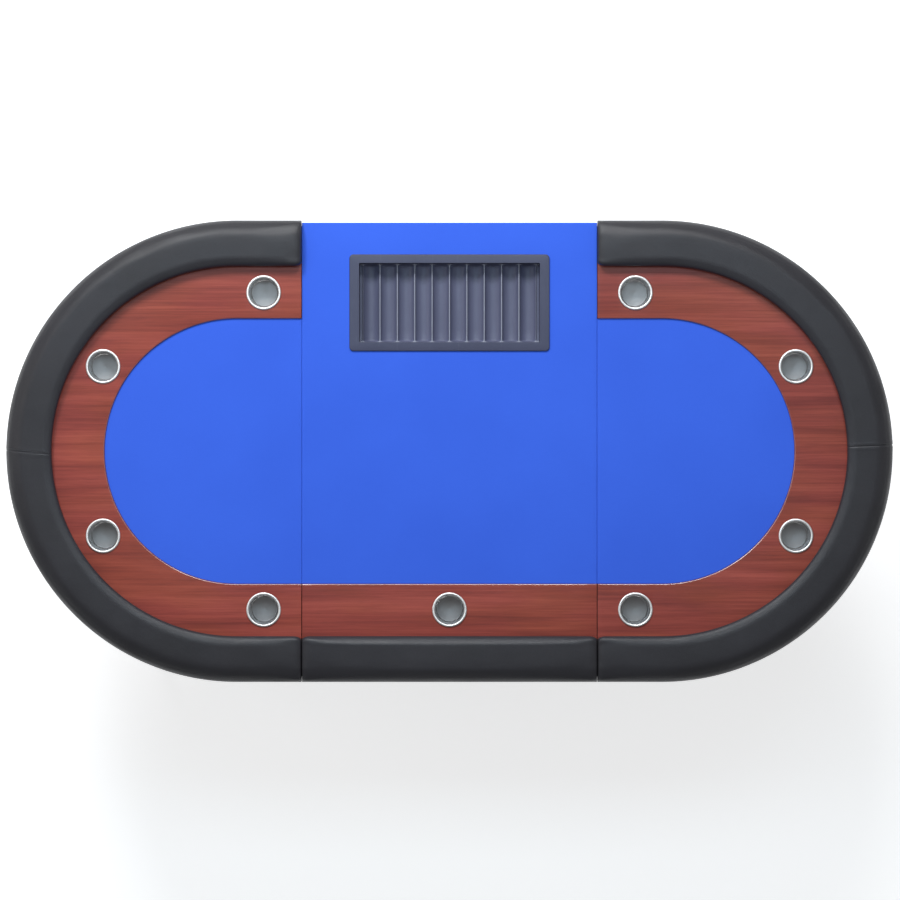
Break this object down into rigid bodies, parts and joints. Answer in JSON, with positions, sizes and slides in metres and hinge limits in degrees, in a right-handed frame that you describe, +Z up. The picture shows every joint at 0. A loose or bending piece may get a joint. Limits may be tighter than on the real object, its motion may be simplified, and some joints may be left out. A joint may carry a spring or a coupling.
{
  "type": "folding casino card table",
  "caption": "Oval three-panel folding card table with padded armrest, wood-grain racetrack, blue cloth, steel cup holders and a chip tray, on folding legs.",
  "frame": {"origin": "on the floor under the middle of the table", "axes": "+X along the length, +Y towards the dealer, +Z up"},
  "size_m": [2.08, 1.083, 0.7953],
  "materials": {
    "cloth": "matt blue speed cloth",
    "veneer": "satin reddish-brown wood grain",
    "leather": "black grained leatherette over foam",
    "board": "black painted board",
    "cup": "drawn stainless steel",
    "tray": "satin blue-grey moulding",
    "steel": "black powder coat",
    "zinc": "bright zinc plating",
    "rubber": "matt black"
  },
  "bodies": {
    "centre": {"centre_armrest": "leather", "centre_board": "board", "centre_cloth": "cloth", "centre_racetrack": "veneer", "centre_rail_core": "board", "cup_centre": "cup", "left_front_hinge_centre_leaf": "steel", "left_front_hinge_pin": "zinc", "left_rear_hinge_centre_leaf": "steel", "left_rear_hinge_pin": "zinc", "right_front_hinge_centre_leaf": "steel", "right_front_hinge_pin": "zinc", "right_rear_hinge_centre_leaf": "steel", "right_rear_hinge_pin": "zinc"},
    "left_wing": {"cup_left_front": "cup", "cup_left_front_end": "cup", "cup_left_rear": "cup", "cup_left_rear_end": "cup", "left_armrest": "leather", "left_board": "board", "left_cloth": "cloth", "left_front_hinge_wing_leaf": "steel", "left_front_leg_bracket": "steel", "left_front_pivot_bolt": "zinc", "left_racetrack": "veneer", "left_rail_core": "board", "left_rear_hinge_wing_leaf": "steel", "left_rear_leg_bracket": "steel", "left_rear_pivot_bolt": "zinc"},
    "right_wing": {"cup_right_front": "cup", "cup_right_front_end": "cup", "cup_right_rear": "cup", "cup_right_rear_end": "cup", "right_armrest": "leather", "right_board": "board", "right_cloth": "cloth", "right_front_hinge_wing_leaf": "steel", "right_front_leg_bracket": "steel", "right_front_pivot_bolt": "zinc", "right_racetrack": "veneer", "right_rail_core": "board", "right_rear_hinge_wing_leaf": "steel", "right_rear_leg_bracket": "steel", "right_rear_pivot_bolt": "zinc"},
    "chip_tray": {"chip_tray": "tray"},
    "left_front_leg": {"left_front_leg_tube": "steel", "left_front_foot": "rubber"},
    "left_front_brace": {"left_front_brace": "zinc"},
    "left_rear_leg": {"left_rear_leg_tube": "steel", "left_rear_foot": "rubber"},
    "left_rear_brace": {"left_rear_brace": "zinc"},
    "right_front_leg": {"right_front_leg_tube": "steel", "right_front_foot": "rubber"},
    "right_front_brace": {"right_front_brace": "zinc"},
    "right_rear_leg": {"right_rear_leg_tube": "steel", "right_rear_foot": "rubber"},
    "right_rear_brace": {"right_rear_brace": "zinc"}
  },
  "joints": [
    {"name": "left_wing_fold", "type": "hinge", "parent": "centre", "child": "left_wing", "pos_m": [-0.34667, 0, 0.709], "axis": [0, -1, 0], "range_deg": [0, 180]},
    {"name": "right_wing_fold", "type": "hinge", "parent": "centre", "child": "right_wing", "pos_m": [0.34667, 0, 0.661], "axis": [0, 1, 0], "range_deg": [0, 180]},
    {"name": "chip_tray_lift", "type": "slide", "parent": "centre", "child": "chip_tray", "axis": [0, 0, 1], "range_m": [0, 0.06]},
    {"name": "left_front_leg_fold", "type": "hinge", "parent": "left_wing", "child": "left_front_leg", "pos_m": [-0.76017, -0.42033, 0.725], "axis": [1, 0, 0], "range_deg": [0, 90]},
    {"name": "left_front_brace_fold", "type": "hinge", "parent": "left_front_leg", "child": "left_front_brace", "pos_m": [-0.74517, -0.42033, 0.635], "axis": [-1, 0, 0], "range_deg": [0, 135]},
    {"name": "left_rear_leg_fold", "type": "hinge", "parent": "left_wing", "child": "left_rear_leg", "pos_m": [-0.70017, 0.42033, 0.725], "axis": [-1, 0, 0], "range_deg": [0, 90]},
    {"name": "left_rear_brace_fold", "type": "hinge", "parent": "left_rear_leg", "child": "left_rear_brace", "pos_m": [-0.68517, 0.42033, 0.635], "axis": [1, 0, 0], "range_deg": [0, 135]},
    {"name": "right_front_leg_fold", "type": "hinge", "parent": "right_wing", "child": "right_front_leg", "pos_m": [0.76017, -0.42033, 0.725], "axis": [1, 0, 0], "range_deg": [0, 90]},
    {"name": "right_front_brace_fold", "type": "hinge", "parent": "right_front_leg", "child": "right_front_brace", "pos_m": [0.74517, -0.42033, 0.635], "axis": [-1, 0, 0], "range_deg": [0, 135]},
    {"name": "right_rear_leg_fold", "type": "hinge", "parent": "right_wing", "child": "right_rear_leg", "pos_m": [0.70017, 0.42033, 0.725], "axis": [-1, 0, 0], "range_deg": [0, 90]},
    {"name": "right_rear_brace_fold", "type": "hinge", "parent": "right_rear_leg", "child": "right_rear_brace", "pos_m": [0.68517, 0.42033, 0.635], "axis": [1, 0, 0], "range_deg": [0, 135]}
  ],
  "couplings": [
    {"joint": "left_front_leg_fold", "follows": "left_wing_fold", "ratio": 0.5},
    {"joint": "left_front_brace_fold", "follows": "left_wing_fold", "ratio": 0.75},
    {"joint": "left_rear_leg_fold", "follows": "left_wing_fold", "ratio": 0.5},
    {"joint": "left_rear_brace_fold", "follows": "left_wing_fold", "ratio": 0.75},
    {"joint": "right_front_leg_fold", "follows": "right_wing_fold", "ratio": 0.5},
    {"joint": "right_front_brace_fold", "follows": "right_wing_fold", "ratio": 0.75},
    {"joint": "right_rear_leg_fold", "follows": "right_wing_fold", "ratio": 0.5},
    {"joint": "right_rear_brace_fold", "follows": "right_wing_fold", "ratio": 0.75}
  ]
}
